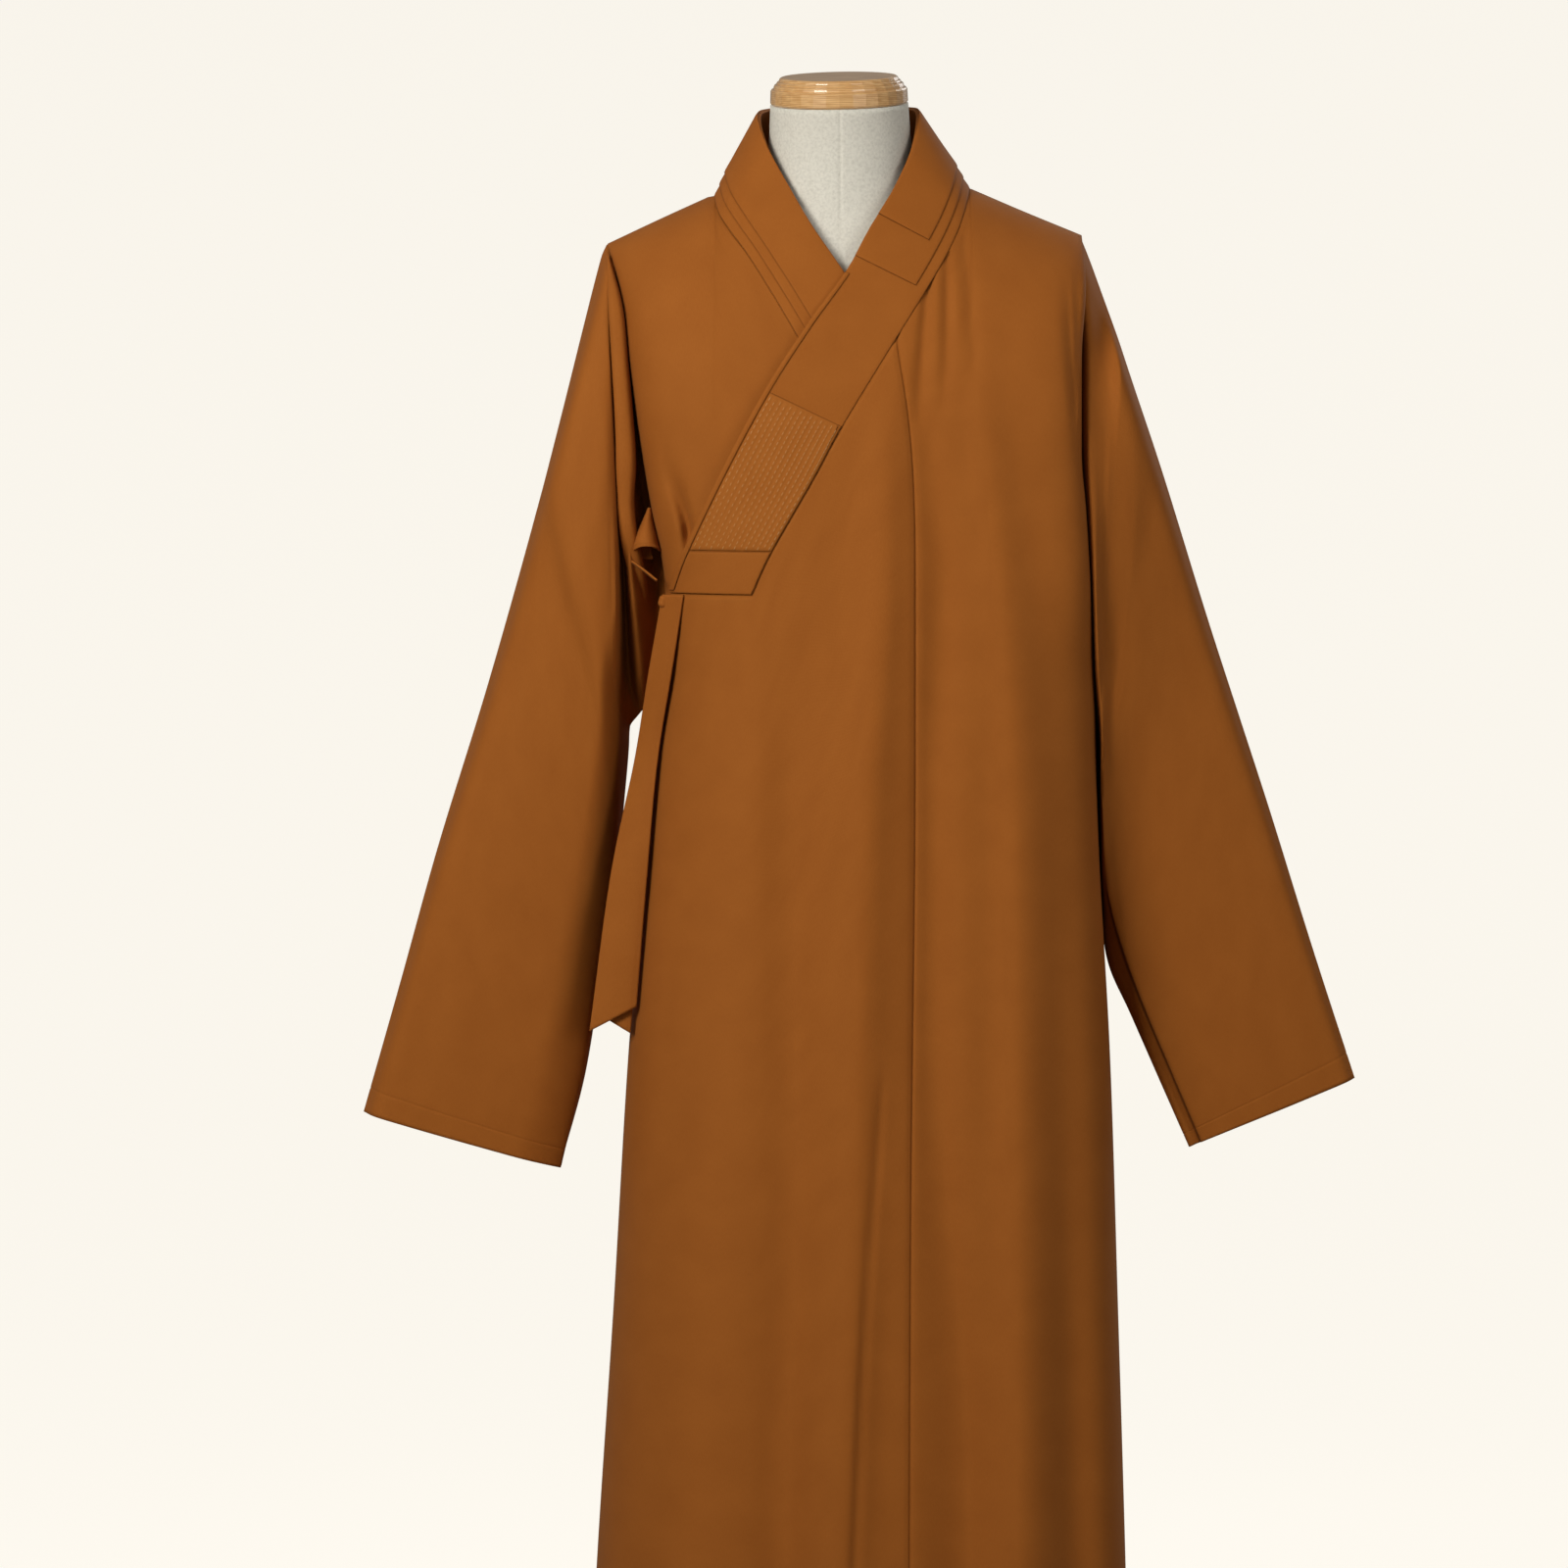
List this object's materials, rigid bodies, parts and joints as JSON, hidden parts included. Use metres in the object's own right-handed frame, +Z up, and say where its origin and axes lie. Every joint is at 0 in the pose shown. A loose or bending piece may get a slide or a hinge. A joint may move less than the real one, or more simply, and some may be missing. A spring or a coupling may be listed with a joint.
{
  "type": "buddhist monk robe on a limbless dress form",
  "caption": "Long crossed monk's robe with wide sleeves, layered neckband, stitched patch and side ties, worn open and hollow by a limbless linen dress form on a pole and round foot.",
  "frame": {"origin": "middle of the round foot's underside, on the pole's axis", "axes": "+Z up the pole; the robe faces -Y and its wearer's left side is +X"},
  "size_m": [0.8821, 0.3775, 1.6],
  "materials": {
    "ochre_cloth": "smooth, close-woven ochre stretch cloth with a soft low sheen",
    "stitched_cloth": "ochre cloth closely covered with rows of light golden running stitch",
    "linen": "tightly stretched pale natural linen",
    "turned_wood": "clear-varnished pale turned wood",
    "dark_steel": "satin dark grey paint"
  },
  "bodies": {
    "root": {"back_left": "ochre_cloth", "back_right": "ochre_cloth", "front_left": "ochre_cloth", "front_overlap": "ochre_cloth", "front_right": "ochre_cloth", "sleeve_left": "ochre_cloth", "sleeve_right": "ochre_cloth", "collar_base": "ochre_cloth", "collar_second": "ochre_cloth", "collar_top": "ochre_cloth", "band_binding": "ochre_cloth", "end_patch": "ochre_cloth", "tie_front": "ochre_cloth", "tie_back": "ochre_cloth", "tie_strap": "ochre_cloth", "tie_knot": "ochre_cloth", "stitched_patch": "stitched_cloth", "form_torso": "linen", "neck_cap": "turned_wood", "stand_pole": "dark_steel", "stand_foot": "dark_steel"}
  },
  "joints": []
}
